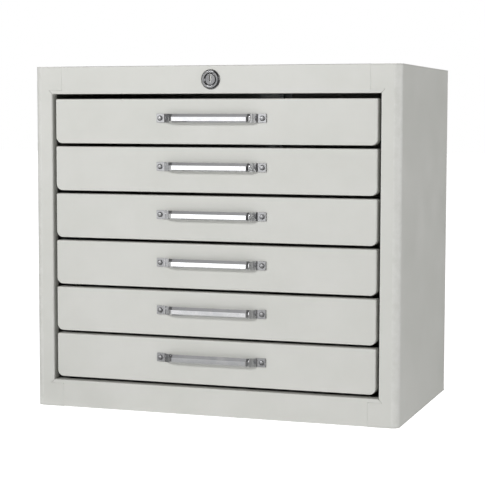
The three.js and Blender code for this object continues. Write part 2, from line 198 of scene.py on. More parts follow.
# %% The settled-dust group
def make_settled_dust():
    group, given, result = start_group(
        "settled dust",
        [("Amount", "NodeSocketFloat", 0.4)],
        [("Mask", "NodeSocketFloat")],
    )
    facing = add_node(group, "SeparateXYZ", _0=add_node(group, "NewGeometry").outputs["Normal"]).outputs["Z"]
    upward = window(group, facing, 0.55, 1.0)
    here = add_node(group, "TexCoord").outputs["Object"]
    film = window(group, noise(group, here, 55.0, detail=6.0, roughness=0.7), 0.35, 0.75)
    dusty = combine(group, "MULTIPLY", upward, film)
    group.links.new(combine(group, "MULTIPLY", dusty, given["Amount"]), result["Mask"])
    return group


SETTLED_DUST = make_settled_dust()
print("group:", SETTLED_DUST.name)

# %% [markdown]
# ### Fine scratches
# Wiping leaves hair-thin scratches that run mostly one way, in patches. A noise that is stretched a
# hundredfold in one direction makes hairs, and a second, broad noise decides where they show.

# %% The fine-scratch group
def make_fine_scratches():
    group, given, result = start_group(
        "fine scratches",
        [("Along", "NodeSocketVector", (9.0, 9.0, 900.0)), ("Amount", "NodeSocketFloat", 0.3)],
        [("Mask", "NodeSocketFloat")],
    )
    here = add_node(group, "TexCoord").outputs["Object"]
    stretched = stretch(group, here, given["Along"])
    hairs = window(group, noise(group, stretched, 1.0, detail=3.0, roughness=0.7), 0.62, 0.72)
    where = window(group, noise(group, here, 21.0, detail=2.0), 0.5, 0.62)
    shown = combine(group, "MULTIPLY", hairs, where)
    group.links.new(combine(group, "MULTIPLY", shown, given["Amount"]), result["Mask"])
    return group


FINE_SCRATCHES = make_fine_scratches()
print("group:", FINE_SCRATCHES.name)

# %% [markdown]
# ### Spot welds
# The sides' rear flanges are spot-welded to the back sheet. Each weld leaves a round dimple that shows
# through the paint. Two distances make the pattern. One is measured from a vertical line at each side, and
# the other from the nearest multiple of the pitch. The surface normal keeps the dimples to the rear.

# %% The spot-weld group
def make_spot_welds():
    group, given, result = start_group(
        "spot welds",
        [
            ("Line", "NodeSocketFloat", 0.19),
            ("Half pitch", "NodeSocketFloat", 0.02),
            ("Radius", "NodeSocketFloat", 0.0026),
        ],
        [("Mask", "NodeSocketFloat")],
    )
    place = add_node(group, "SeparateXYZ", _0=add_node(group, "TexCoord").outputs["Object"]).outputs
    from_middle = combine(group, "ABSOLUTE", place["X"], 0.0)
    across = combine(group, "SUBTRACT", from_middle, given["Line"])
    along = combine(group, "PINGPONG", place["Z"], given["Half pitch"])
    offset = add_node(group, "CombineXYZ", X=across, Y=along).outputs[0]
    distance = add_node(group, "VectorMath", {"operation": "LENGTH"}, _0=offset).outputs["Value"]
    dimple = window(group, combine(group, "DIVIDE", distance, given["Radius"]), 0.6, 1.0, 1.0, 0.0)
    facing = add_node(group, "SeparateXYZ", _0=add_node(group, "NewGeometry").outputs["Normal"]).outputs["Y"]
    group.links.new(combine(group, "MULTIPLY", dimple, window(group, facing, 0.9, 0.95)), result["Mask"])
    return group


SPOT_WELDS = make_spot_welds()
print("group:", SPOT_WELDS.name)

# %% [markdown]
# ## Finishes
# Each finish is one Principled BSDF. What is the same all over is typed on the shader's own socket, and
# what changes over the surface arrives through nodes.

# %% Helpers for a finish
def start_finish(name):
    """A new material with only its shader, and that shader's node tree."""
    finish = bpy.data.materials.new(name)
    finish.use_nodes = True
    tree = finish.node_tree
    shader = tree.nodes["Principled BSDF"]
    return finish, tree, shader


def place_group(tree, group, **values):
    """A node group placed in a material, with its own values. Underscores stand for spaces."""
    node = tree.nodes.new("ShaderNodeGroup")
    node.node_tree = group
    for title, value in values.items():
        node.inputs[title.replace("_", " ").replace("Break up", "Break-up")].default_value = value
    return node.outputs


def blend_colours(tree, amount, first, second):
    """A mix of two colours, where each is a plain colour or another node's output."""
    mixed = tree.nodes.new("ShaderNodeMix")
    mixed.data_type = "RGBA"
    colour_in = [socket for socket in mixed.inputs if socket.type == "RGBA"]
    for socket, value in zip([mixed.inputs[0], *colour_in], [amount, first, second]):
        if isinstance(value, bpy.types.NodeSocket):
            tree.links.new(value, socket)
        else:
            socket.default_value = value
    return next(socket for socket in mixed.outputs if socket.type == "RGBA")


def raise_surface(tree, shader, height, distance, strength=1.0):
    """Feeds a height in metres into the shader's normal."""
    bump = add_node(tree, "Bump", Height=height, Distance=distance, Strength=strength)
    tree.links.new(bump.outputs["Normal"], shader.inputs["Normal"])


# %% [markdown]
# ### Light grey baked enamel
# The case, the drawer faces and the trays share one paint: a light grey with a hint of green, half glossy.
# Sheet waves make it drift a little lighter and darker. Bends are a little lighter, partly as rubbed coat
# and partly as a painted highlight; upward faces carry dust, and fine scratches dull the shine.

# %% The enamel
def make_enamel():
    finish, tree, shader = start_finish("light grey enamel")
    coat = place_group(tree, SPRAYED_COAT, Peel_size=620.0, Sheet_waves=0.6)
    bend_mask = place_group(tree, RUBBED_EDGE, Amount=0.45)["Mask"]
    dust = place_group(tree, SETTLED_DUST, Amount=0.35)["Mask"]
    hairs = place_group(tree, FINE_SCRATCHES, Along=(9.0, 9.0, 900.0), Amount=0.5)["Mask"]
    drift = window(tree, coat["Tone"], 0.35, 0.65)
    paint = blend_colours(tree, drift, (0.610, 0.614, 0.578, 1.0), (0.646, 0.647, 0.616, 1.0))
    # The bends' lighter grey is partly rubbed coat and partly a painted highlight.
    thinned_and_highlit = blend_colours(tree, bend_mask, paint, (0.76, 0.76, 0.74, 1.0))
    dusty = blend_colours(tree, dust, thinned_and_highlit, (0.70, 0.68, 0.64, 1.0))
    tree.links.new(dusty, shader.inputs["Base Color"])
    shine = window(tree, coat["Tone"], 0.3, 0.7, 0.36, 0.46)
    worn = combine(tree, "ADD", shine, combine(tree, "MULTIPLY", hairs, 0.25))
    matt = combine(tree, "ADD", worn, combine(tree, "MULTIPLY", dust, 0.4))
    tree.links.new(matt, shader.inputs["Roughness"])
    shader.inputs["Specular IOR Level"].default_value = 0.5
    welds = place_group(tree, SPOT_WELDS, Line=0.19, Half_pitch=0.02, Radius=0.0026)["Mask"]
    sunk = combine(tree, "SUBTRACT", coat["Height"], combine(tree, "MULTIPLY", welds, 7.0))
    raise_surface(tree, shader, sunk, 0.00006, 0.6)
    return finish


ENAMEL = make_enamel()
print("finish:", ENAMEL.name)

# %% [markdown]
# ### Bright zinc
# Runners, the lock's rod and bar, and their brackets are zinc-plated. Zinc plate is a soft grey metal with
# a faint rolling grain along the strip and cloudy patches where it has dulled.

# %% The zinc
def make_zinc():
    finish, tree, shader = start_finish("bright zinc")
    here = add_node(tree, "TexCoord").outputs["Object"]
    clouds = window(tree, noise(tree, here, 90.0, detail=4.0, roughness=0.6), 0.3, 0.7)
    bend_mask = place_group(tree, RUBBED_EDGE, Amount=0.7, Break_up_size=220.0)["Mask"]
    dust = place_group(tree, SETTLED_DUST, Amount=0.3)["Mask"]
    metal = blend_colours(tree, clouds, (0.50, 0.52, 0.53, 1.0), (0.68, 0.69, 0.68, 1.0))
    bright = blend_colours(tree, bend_mask, metal, (0.82, 0.82, 0.80, 1.0))
    tree.links.new(blend_colours(tree, dust, bright, (0.55, 0.53, 0.50, 1.0)), shader.inputs["Base Color"])
    shine = window(tree, clouds, 0.0, 1.0, 0.46, 0.30)
    dulled = combine(tree, "ADD", shine, combine(tree, "MULTIPLY", dust, 0.3))
    tree.links.new(dulled, shader.inputs["Roughness"])
    shader.inputs["Metallic"].default_value = 1.0
    grain = stretch(tree, here, (1500.0, 25.0, 1500.0))
    raise_surface(tree, shader, noise(tree, grain, 1.0, detail=2.0), 0.00003, 0.5)
    return finish


ZINC = make_zinc()
print("finish:", ZINC.name)

# %% [markdown]
# ### Polished plating
# The pulls, their screws and the lock are chromed. Polished chrome is almost a mirror, so nearly all of
# its look is what it reflects. The small roughness, finger smears and hair scratches keep it from looking
# like glass. The pulls' feet turn satin and their colour is halved, and the lock's plating is a copy whose
# colour is darkened to about a third: both darker colours are painted shade.

# %% The chrome
def make_chrome(name, smear_low, smear_high, bright, satin_and_painted_shade_beyond=1.0):
    """Plating whose colour is scaled by a brightness, which is painted shade below 1, and which turns satin
    beyond a distance from the middle plane, with its colour halved there as painted shade.
    """
    finish, tree, shader = start_finish(name)
    here = add_node(tree, "TexCoord").outputs["Object"]
    smears = noise(tree, here, 130.0, detail=5.0, roughness=0.65)
    hairs = place_group(tree, FINE_SCRATCHES, Along=(60.0, 60.0, 2500.0), Amount=0.6)["Mask"]
    bend_mask = place_group(tree, RUBBED_EDGE, Amount=0.5, Break_up_size=400.0)["Mask"]
    wiped = window(tree, smears, 0.3, 0.7)
    plate = blend_colours(tree, wiped, (0.74, 0.75, 0.77, 1.0), (0.82, 0.82, 0.83, 1.0))
    worn = blend_colours(tree, bend_mask, plate, (0.90, 0.90, 0.89, 1.0))
    shine = window(tree, smears, 0.35, 0.7, smear_low, smear_high)
    across = combine(tree, "ABSOLUTE", add_node(tree, "SeparateXYZ", _0=here).outputs["X"], 0.0)
    beyond = window(tree, across, satin_and_painted_shade_beyond, satin_and_painted_shade_beyond + 0.001)
    satin = combine(tree, "MULTIPLY", beyond, 0.4)
    # Painted shade: the colour is scaled by the brightness, and halved again on the feet beyond the satin
    # line.
    shade = window(tree, beyond, 0.0, 1.0, bright, 0.55 * bright)
    painted_shade_plate = add_node(tree, "VectorMath", {"operation": "SCALE"}, _0=worn, _3=shade).outputs[0]
    tree.links.new(painted_shade_plate, shader.inputs["Base Color"])
    polished = combine(tree, "ADD", shine, combine(tree, "MULTIPLY", hairs, 0.15))
    tree.links.new(combine(tree, "ADD", polished, satin), shader.inputs["Roughness"])
    shader.inputs["Metallic"].default_value = 1.0
    raise_surface(tree, shader, noise(tree, here, 260.0, detail=3.0), 0.00001, 0.25)
    return finish


# The pulls' feet, beyond 51 mm from the middle, get a halved colour as painted shade.
CHROME = make_chrome("polished plating", 0.07, 0.17, 1.0, satin_and_painted_shade_beyond=51 * MM)
# The lock's plating is the same chrome with its colour darkened to about a third, as painted shade.
LOCK_CHROME_PAINTED_DARK = make_chrome("lock plating", 0.16, 0.26, 0.36)
print("finishes:", CHROME.name, "and", LOCK_CHROME_PAINTED_DARK.name)

# %% [markdown]
# ### Black rubber
# The feet are moulded rubber: nearly black, matt, with a fine grain and grey scuffs on their edges.

# %% The rubber
def make_rubber():
    finish, tree, shader = start_finish("black rubber")
    here = add_node(tree, "TexCoord").outputs["Object"]
    bloom = window(tree, noise(tree, here, 300.0, detail=5.0, roughness=0.7), 0.4, 0.75)
    bend_mask = place_group(tree, RUBBED_EDGE, Amount=0.6, Break_up_size=500.0)["Mask"]
    grey = blend_colours(tree, bloom, (0.012, 0.012, 0.013, 1.0), (0.035, 0.034, 0.033, 1.0))
    tree.links.new(blend_colours(tree, bend_mask, grey, (0.09, 0.088, 0.085, 1.0)), shader.inputs["Base Color"])
    tree.links.new(window(tree, bloom, 0.0, 1.0, 0.68, 0.88), shader.inputs["Roughness"])
    raise_surface(tree, shader, noise(tree, here, 2200.0, detail=2.0), 0.00008, 0.7)
    return finish


RUBBER = make_rubber()
print("finish:", RUBBER.name)

# %% [markdown]
# ## Modelling helpers: split, push, round and finish
# A folded sheet part can be drawn in three moves. Split its faces where something changes, push a face
# out to make a flange, and round the edges that are bends. Each move is one bmesh operator, wrapped so
# that the faces and edges are picked by where they are.

# %% Picking faces and edges
def near(a, b, slack=0.02 * MM):
    """True if two lengths are the same within a fiftieth of a millimetre."""
    return abs(a - b) < slack


def faces_facing(bm, direction, low=(-1, -1, -1), high=(1, 1, 1)):
    """The faces that point along a direction and whose middle lies between two corners."""
    bm.normal_update()
    aim = Vector(direction)
    found = []
    for face in bm.faces:
        middle = face.calc_center_median()
        inside = all(low[axis] < middle[axis] < high[axis] for axis in range(3))
        if inside and face.normal.dot(aim) > 0.99:
            found.append(face)
    return found


def edges_where(bm, test):
    """The edges whose two ends both pass a test."""
    return [edge for edge in bm.edges if test(edge.verts[0].co) and test(edge.verts[1].co)]


# %% Splitting, pushing and rounding
def split(bm, axis, *values):
    """Cuts every face along the planes where one coordinate has the given values."""
    normal = Vector((axis == "x", axis == "y", axis == "z"))
    for value in values:
        everything = bm.verts[:] + bm.edges[:] + bm.faces[:]
        bmesh.ops.bisect_plane(bm, geom=everything, dist=1e-7, plane_co=normal * value, plane_no=normal)


def pull_edges(bm, edges, offset):
    """Extrudes edges by an offset, and returns the new edges that lie across the pull."""
    made = bmesh.ops.extrude_edge_only(bm, edges=edges)["geom"]
    moved = [item for item in made if isinstance(item, bmesh.types.BMVert)]
    bmesh.ops.translate(bm, vec=offset, verts=moved)
    way = Vector(offset).normalized()
    fresh = [item for item in made if isinstance(item, bmesh.types.BMEdge)]
    return [e for e in fresh if abs((e.verts[0].co - e.verts[1].co).normalized().dot(way)) < 0.5]


def face_outwards(bm, direction, **limits):
    """Makes a surface's faces agree, so that the ones along a direction are its outside."""
    bmesh.ops.recalc_face_normals(bm, faces=bm.faces[:])
    if not faces_facing(bm, direction, **limits):
        bmesh.ops.reverse_faces(bm, faces=bm.faces[:])


def round_corners(bm, verts, radius, segments):
    """Rounds the corners of a flat sheet, as seen along its normal."""
    bmesh.ops.bevel(
        bm,
        geom=verts,
        offset=radius,
        offset_type="OFFSET",
        segments=segments,
        profile=0.5,
        affect="VERTICES",
        material=-1,
    )


def tidy_flats(bm):
    """Joins faces that lie in one plane, so that a flat sheet is a single face again."""
    bmesh.ops.remove_doubles(bm, verts=bm.verts[:], dist=1e-7)
    bmesh.ops.dissolve_limit(bm, angle_limit=math.radians(0.5), verts=bm.verts[:], edges=bm.edges[:])


def round_edges(bm, edges, radius, segments=3):
    """Rolls edges over to a radius and marks the new faces' corners as bend, for the wear mask."""
    layer = bm.loops.layers.float.get("bend") or bm.loops.layers.float.new("bend")
    rolled = bmesh.ops.bevel(
        bm,
        geom=edges,
        offset=radius,
        offset_type="OFFSET",
        segments=segments,
        profile=0.5,
        affect="EDGES",
        material=-1,
        clamp_overlap=True,
    )["faces"]
    inside_bend = set(rolled)
    for face in rolled:
        for corner in face.loops:
            if all(other in inside_bend for other in corner.vert.link_faces):
                corner[layer] = 1.0
    return rolled


def sharp_edges(bm, least_angle=30.0):
    """The edges where two faces meet at more than an angle, in degrees."""
    bm.normal_update()
    limit = math.radians(least_angle)
    return [edge for edge in bm.edges if len(edge.link_faces) == 2 and edge.calc_face_angle() > limit]


# %% [markdown]
# ### From bmesh to a finished piece
# The last move is the same for every piece. The mesh becomes an object at the origin, smooth where it
# curves and crisp where it folds. A Weighted Normal modifier keeps the big flat faces flat-shaded next to
# their small rounded edges. Then the piece is hung on the empty of the body it rides on, and the parts of
# the working model that it stands for are hidden.

# %% Finishing a piece
def add_piece(bm, name, body, finish, stands_for=(), crease=38):
    """Turns a bmesh into an object that rides on a body and replaces parts of the working model."""
    mesh = bpy.data.meshes.new(name)
    bm.to_mesh(mesh)
    bm.free()
    mesh.materials.append(finish)
    mesh.shade_smooth()
    mesh.set_sharp_from_angle(angle=math.radians(crease))
    piece = bpy.data.objects.new(name, mesh)
    bpy.context.scene.collection.objects.link(piece)
    even = piece.modifiers.new("even shading", "WEIGHTED_NORMAL")
    even.keep_sharp = True
    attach(piece, body)
    if stands_for:
        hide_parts(*stands_for)
    return piece


def mirrored_copy(bm):
    """The same shape for the other hand of the cabinet: turned over in X, with its faces put right."""
    other = bm.copy()
    bmesh.ops.scale(other, vec=(-1, 1, 1), verts=other.verts[:])
    bmesh.ops.reverse_faces(other, faces=other.faces[:])
    return other


# %% [markdown]
# ## The case sides
# Each side is one sheet. It runs from a flange at the back, along the side, round the soft front corner,
# and becomes the stile beside the drawers, where it folds in once more as a return. Wider tabs at the top
# and bottom of the stile lie over the ends of the rails, and the joint is welded and sanded before
# painting, so only a faint line shows.
#
# The shape is drawn as a surface first. A line of points along the outside of the sheet is extruded
# upwards in steps. Then the part beside the opening is deleted, the return is pulled back from its edge,
# the folds are rounded, and the surface gets its thickness last.

# %% Build one side and mirror it
JOIN = 0.1 * MM
FOLD = 1.1 * MM
SEAM = 0.12 * MM
MITRE = 4.0 * MM
REAR_FLANGE = 12 * MM
SIDE_BEND = 1.6 * MM
TAB_CORNER = 1 * MM


def make_side_sheet():
    bm = bmesh.new()
    bm.loops.layers.float.new("bend")
    low, high = BOTTOM + SHEET + JOIN, TOP - SHEET - JOIN
    plan = [
        (HALF_WIDTH - TAB, FRONT),
        (OPENING_HALF, FRONT),
        (HALF_WIDTH, FRONT),
        (HALF_WIDTH, BACK),
        (HALF_WIDTH - REAR_FLANGE, BACK),
    ]
    points = [bm.verts.new((x, y, low)) for x, y in plan]
    line = [bm.edges.new(pair) for pair in zip(points, points[1:])]
    levels = [OPENING_BOTTOM - MITRE, OPENING_BOTTOM, OPENING_TOP, OPENING_TOP + MITRE, high]
    previous = low
    for level in levels:
        line = pull_edges(bm, line, (0, 0, level - previous))
        previous = level
    bmesh.ops.recalc_face_normals(bm, faces=bm.faces[:])
    beside = [
        face
        for face in bm.faces
        if face.calc_center_median().x < OPENING_HALF
        and face.calc_center_median().y < FRONT + MM
        and levels[0] < face.calc_center_median().z < levels[3]
    ]
    bmesh.ops.delete(bm, geom=beside, context="FACES")
    from_z, to_z = levels[1] - MM / 10, levels[2] + MM / 10
    fold = edges_where(bm, lambda co: near(co.x, OPENING_HALF) and from_z < co.z < to_z)
    pull_edges(bm, [edge for edge in fold if edge.is_boundary], (0, RETURN, 0))
    bmesh.ops.recalc_face_normals(bm, faces=bm.faces[:])
    mitre = [vert for vert in bm.verts if near(vert.co.x, OPENING_HALF) and near(vert.co.y, FRONT)]
    mitre = [vert for vert in mitre if near(vert.co.z, levels[0]) or near(vert.co.z, levels[3])]
    bmesh.ops.translate(bm, vec=(MITRE, 0, 0), verts=mitre)
    tab_corners = [vert for vert in bm.verts if near(vert.co.x, HALF_WIDTH - TAB)]
    tab_corners = [vert for vert in tab_corners if near(vert.co.z, levels[0]) or near(vert.co.z, levels[3])]
    round_corners(bm, tab_corners, TAB_CORNER, 4)
    corner = edges_where(bm, lambda co: near(co.x, HALF_WIDTH) and near(co.y, FRONT))
    round_edges(bm, corner, CORNER_RADIUS, 18)
    heel = edges_where(bm, lambda co: near(co.x, HALF_WIDTH) and near(co.y, BACK))
    round_edges(bm, heel, SIDE_BEND, 4)
    turn = edges_where(bm, lambda co: near(co.x, OPENING_HALF) and near(co.y, FRONT))
    turn = [edge for edge in turn if len(edge.link_faces) == 2 and edge.calc_face_angle() > 1]
    round_edges(bm, turn, SIDE_BEND, 5)
    if not faces_facing(bm, (0, -1, 0), high=(1, FRONT + MM, 1)):
        bmesh.ops.reverse_faces(bm, faces=bm.faces[:])
    bmesh.ops.solidify(bm, geom=bm.faces[:], thickness=SHEET)
    return bm


right_side = make_side_sheet()
left_side = mirrored_copy(right_side)
open_edges = sum(not edge.is_manifold for edge in right_side.edges)
print("side sheet:", len(right_side.faces), "faces, open edges", open_edges)
add_piece(right_side, "side_sheet_right", "cabinet", ENAMEL, ["case_right_side"])
add_piece(left_side, "side_sheet_left", "cabinet", ENAMEL, ["case_left_side"])

# %% [markdown]
# ## The top and bottom covers
# The top cover is a flat plate with rounded front corners, and its front edge is folded down to make the
# rail that holds the lock. The rail's lower edge folds back into the opening. Two narrow flanges under the
# plate are welded to the sides. The bottom cover is the same pressing turned over.
#
# Like the sides, the cover starts as a surface. The plate's front edge is extruded down to the opening,
# the strip along the opening is extruded sideways to meet the stiles, and the lower edge is pulled back.
# Once the folds are round, the surface gets its thickness, and the flanges are added as thin blocks.

# %% Build the top cover and turn it over for the bottom
RELIEF = 0.4 * MM
FLANGE_GAP = 0.3 * MM
FLANGE_DROP = 11 * MM
FLANGE_SETBACK = 14 * MM


def make_cover():
    bm = bmesh.new()
    bm.loops.layers.float.new("bend")
    middle = Vector((0, (FRONT + BACK) / 2, TOP))
    place = Matrix.Translation(middle) @ Matrix.Diagonal((2 * HALF_WIDTH, BACK - FRONT, 1, 1))
    bmesh.ops.create_grid(bm, x_segments=1, y_segments=1, size=0.5, matrix=place)
    round_corners(bm, [vert for vert in bm.verts if vert.co.y < middle.y], CORNER_RADIUS, 18)
    rail_half = HALF_WIDTH - TAB - JOIN
    split(bm, "x", -rail_half - RELIEF, -rail_half, rail_half, rail_half + RELIEF)
    front = edges_where(bm, lambda co: near(co.y, FRONT) and abs(co.x) < rail_half + MM / 10)
    strip_top = OPENING_TOP + MITRE - SEAM
    waist = pull_edges(bm, front, (0, 0, strip_top - TOP))
    pull_edges(bm, waist, (0, 0, OPENING_TOP - strip_top))
    reach = OPENING_HALF - rail_half - 3 * SEAM
    strip = edges_where(bm, lambda co: near(abs(co.x), rail_half) and co.z < strip_top + SEAM)
    for hand in (-1, 1):
        end = [edge for edge in strip if all(near(vert.co.x, hand * rail_half) for vert in edge.verts)]
        pull_edges(bm, end, (hand * reach, 0, 0))
    slanted = [v for v in bm.verts if near(v.co.z, strip_top) and abs(v.co.x) > rail_half + MM]
    for vert in slanted:
        vert.co.x += math.copysign(MITRE - SEAM, vert.co.x)
    lower = edges_where(bm, lambda co: near(co.z, OPENING_TOP) and near(co.y, FRONT))
    pull_edges(bm, lower, (0, RETURN, 0))
    face_outwards(bm, (0, 0, 1), low=(-1, -1, TOP - MM))
    lower = edges_where(bm, lambda co: near(co.z, OPENING_TOP) and near(co.y, FRONT))
    front = edges_where(bm, lambda co: near(co.z, TOP) and near(co.y, FRONT))
    front = [edge for edge in front if all(abs(vert.co.x) < rail_half + MM / 10 for vert in edge.verts)]
    round_edges(bm, lower + front, FOLD, 4)
    bmesh.ops.solidify(bm, geom=bm.faces[:], thickness=SHEET)
    for hand in (-1, 1):
        outer = HALF_WIDTH - SHEET - FLANGE_GAP
        centre = Vector((hand * (outer - SHEET / 2), middle.y, TOP - SHEET - FLANGE_DROP / 2))
        size = (SHEET, BACK - FRONT - 2 * FLANGE_SETBACK, FLANGE_DROP, 1)
        bmesh.ops.create_cube(bm, size=1.0, matrix=Matrix.Translation(centre) @ Matrix.Diagonal(size))
    return bm


top_cover = make_cover()
bottom_cover = top_cover.copy()
bmesh.ops.scale(bottom_cover, vec=(1, 1, -1), verts=bottom_cover.verts[:])
bmesh.ops.translate(bottom_cover, vec=(0, 0, TOP + BOTTOM), verts=bottom_cover.verts[:])
bmesh.ops.reverse_faces(bottom_cover, faces=bottom_cover.faces[:])
open_edges = sum(not edge.is_manifold for edge in top_cover.edges)
print("cover:", len(top_cover.faces), "faces, open edges", open_edges)
add_piece(top_cover, "top_cover", "cabinet", ENAMEL, ["case_top"])
add_piece(bottom_cover, "bottom_cover", "cabinet", ENAMEL, ["case_bottom"])

# %% [markdown]
# ## The drawer faces
# A drawer face is a shallow pan: a plate whose four edges are folded back, with the two lower corners
# rounded so that they don't catch fingers. The fold along the top edge is what catches the light.

# %% Build a drawer face
FACE_CORNER = 7.0 * MM
FACE_BEND = 1.5 * MM


def make_drawer_face(n):
    low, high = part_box(f"drawer_{n}_face")
    bm = bmesh.new()
    bm.loops.layers.float.new("bend")
    middle = Vector(((low.x + high.x) / 2, low.y, (low.z + high.z) / 2))
    size = Vector((high.x - low.x, high.z - low.z, 1))
    place = Matrix.Translation(middle) @ Matrix.Rotation(math.pi / 2, 4, "X") @ Matrix.Diagonal((*size, 1))
    bmesh.ops.create_grid(bm, x_segments=1, y_segments=1, size=0.5, matrix=place)
    lower_corners = [vert for vert in bm.verts if vert.co.z < middle.z]
    round_corners(bm, lower_corners, FACE_CORNER, 10)
    pull_edges(bm, bm.edges[:], (0, high.y - low.y, 0))
    face_outwards(bm, (0, -1, 0))
    bends = edges_where(bm, lambda co: near(co.y, low.y))
    upper = edges_where(bm, lambda co: near(co.z, high.z))
    upper = [edge for edge in upper if near(edge.verts[0].co.x, edge.verts[1].co.x)]
    round_edges(bm, bends + upper, FACE_BEND, 5)
    bmesh.ops.solidify(bm, geom=bm.faces[:], thickness=SHEET)
    return bm


for n in DRAWERS:
    face = make_drawer_face(n)
    add_piece(face, f"front_panel_{n}", f"drawer_{n}", ENAMEL, [f"drawer_{n}_face"])
print("drawer faces:", len(DRAWERS))

# %% [markdown]
# ## The pulls
# A pull is a plated steel strap with a foot at each end, a sloping leg and a straight grip. The upper
# third of the grip leans back, so light runs along it in two bands, and its lower edge is tucked under for
# the fingertips. The legs are pressed with fine upright ribs.
#
# Drawn from above, the strap is one bent line. Extruding the line upwards gives a ribbon, its bends are
# rounded, its top edge is leaned back, its lower edge is tucked, and the ribbon gets its thickness last.

# %% Build a pull
STRAP = 1.6 * MM
TUCK = 1.5 * MM
GRIP_HALF = 41.7 * MM
LEG_FOOT = 50.7 * MM
LEG_BEND = 1.4 * MM
UPPER_BAND = 3.2 * MM
LEAN = 1.7 * MM
RIBS = 6
RIB_RISE = 0.22 * MM


def press_ribs(bm):
    """Corrugates the sloping legs. Each is cut into narrow strips, and every other cut line is raised."""
    bm.normal_update()
    sloping = [face for face in bm.faces if 0.3 < abs(face.normal.x) < 0.9]
    legs = [face for face in sloping if face.calc_area() > (4 * MM) ** 2 / 2]
    sides = [edge for face in legs for edge in face.edges]
    across = [edge for edge in sides if abs(edge.verts[0].co.z - edge.verts[1].co.z) < MM / 10]
    outward = {math.copysign(1, face.normal.x): face.normal.copy() for face in legs}
    ends = [abs(vert.co.x) for edge in across for vert in edge.verts]
    inner, outer = min(ends), max(ends)
    cuts = 2 * RIBS - 1
    bmesh.ops.subdivide_edges(bm, edges=list(dict.fromkeys(across)), cuts=cuts, use_grid_fill=True)
    for vert in bm.verts:
        step = (abs(vert.co.x) - inner) / (outer - inner) * (cuts + 1)
        if 0.5 < step < cuts + 0.5 and round(step) % 2 == 1:
            vert.co += outward[math.copysign(1, vert.co.x)] * RIB_RISE


def make_pull(n):
    low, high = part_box(f"drawer_{n}_pull")
    bm = bmesh.new()
    bm.loops.layers.float.new("bend")
    face, grip = high.y - STRAP, low.y
    end = high.x
    half = [(end, face), (LEG_FOOT, face), (GRIP_HALF, grip)]
    plan = half + [(-x, y) for x, y in reversed(half)]
    points = [bm.verts.new((x, y, low.z)) for x, y in plan]
    line = [bm.edges.new(pair) for pair in zip(points, points[1:])]
    lean_from = high.z - UPPER_BAND
    for rise in (TUCK, lean_from - low.z - TUCK, high.z - lean_from):
        line = pull_edges(bm, line, (0, 0, rise))
    face_outwards(bm, (0, -1, 0))
    inner = [edge for edge in bm.edges if len(edge.link_faces) == 2]
    upright = [edge for edge in inner if near(edge.verts[0].co.x, edge.verts[1].co.x)]
    round_edges(bm, upright, LEG_BEND, 4)
    press_ribs(bm)
    leaning = [vert for vert in bm.verts if near(vert.co.z, high.z) and vert.co.y < grip + 2 * MM]
    bmesh.ops.translate(bm, vec=(0, LEAN, 0), verts=leaning)
    tucked = [vert for vert in bm.verts if near(vert.co.z, low.z) and vert.co.y < grip + 2 * MM]
    bmesh.ops.translate(bm, vec=(0, TUCK, 0), verts=tucked)
    bmesh.ops.solidify(bm, geom=bm.faces[:], thickness=STRAP)
    round_edges(bm, sharp_edges(bm, 60), 0.25 * MM, 2)
    return bm


for n in DRAWERS:
    pull = make_pull(n)
    add_piece(pull, f"strap_pull_{n}", f"drawer_{n}", CHROME, [f"drawer_{n}_pull"], crease=22)
print("pulls:", len(DRAWERS))

# %% [markdown]
# ## Softened copies of the working parts
# Runners, trays, the lock's linkage and the small hardware already have their right shape in the working
# model. They only need edges that catch light. A copy of the part's mesh is welded into one skin, its
# flat faces are joined again, and every sharp edge gets a small round.

# %% Copy a part and soften its edges
def soften(node, name, body, finish, radius, segments=2):
    bm = bmesh.new()
    bm.from_mesh(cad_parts[node].data)
    tidy_flats(bm)
    bm.loops.layers.float.new("bend")
    round_edges(bm, sharp_edges(bm), radius, segments)
    return add_piece(bm, name, body, finish, [node])


for n in DRAWERS:
    drawer = f"drawer_{n}"
    soften(f"{drawer}_tray", f"tray_{n}", drawer, ENAMEL, 0.2 * MM)
    for hand in ("left", "right"):
        soften(f"runner_{n}_{hand}", f"channel_{n}_{hand}", "cabinet", ZINC, 0.2 * MM)
        soften(f"{drawer}_screw_{hand}", f"pull_screw_{n}_{hand}", drawer, CHROME, 0.15 * MM)
soften("case_back", "back_sheet", "cabinet", ENAMEL, 0.2 * MM)
soften("lock_nut", "ring_nut", "cabinet", ZINC, 0.3 * MM)
soften("lock_rod_bracket", "rod_bracket", "cabinet", ZINC, 0.2 * MM)
soften("lock_bar_guide_upper", "bar_guide_upper", "cabinet", ZINC, 0.2 * MM)
soften("lock_bar_guide_lower", "bar_guide_lower", "cabinet", ZINC, 0.2 * MM)
soften("lock_rod", "cranked_rod", "lock_cylinder", ZINC, 0.2 * MM)
soften("lock_bar", "blade_bar", "lock_bar", ZINC, 0.2 * MM)
# The lock's bezel and plug carry the darkened plating, whose colour is painted shade.
soften("lock_housing", "lock_bezel", "cabinet", LOCK_CHROME_PAINTED_DARK, 0.3 * MM, 3)
soften("lock_plug", "key_plug", "lock_cylinder", LOCK_CHROME_PAINTED_DARK, 0.25 * MM, 3)
for end in ("front", "rear"):
    for hand in ("left", "right"):
        soften(f"foot_{end}_{hand}", f"pad_{end}_{hand}", "cabinet", RUBBER, 0.5 * MM, 3)

# %% [markdown]
# ## Floor, light and camera
# A product stands on plain white with soft light from in front. Plated parts show what stands around them,
# so the light comes as separate panels. A low card fills the grips of the pulls with white, a dim card
# above gives their leaning upper bands a mid grey, and the key lights the paint from the left.
#
# The floor does three jobs, and the Light Path node lets it answer each kind of ray in its own way. Seen
# straight on it is white. To the paint it is a soft light from below. In the plating it glows only where
# the lowest grips mirror it.

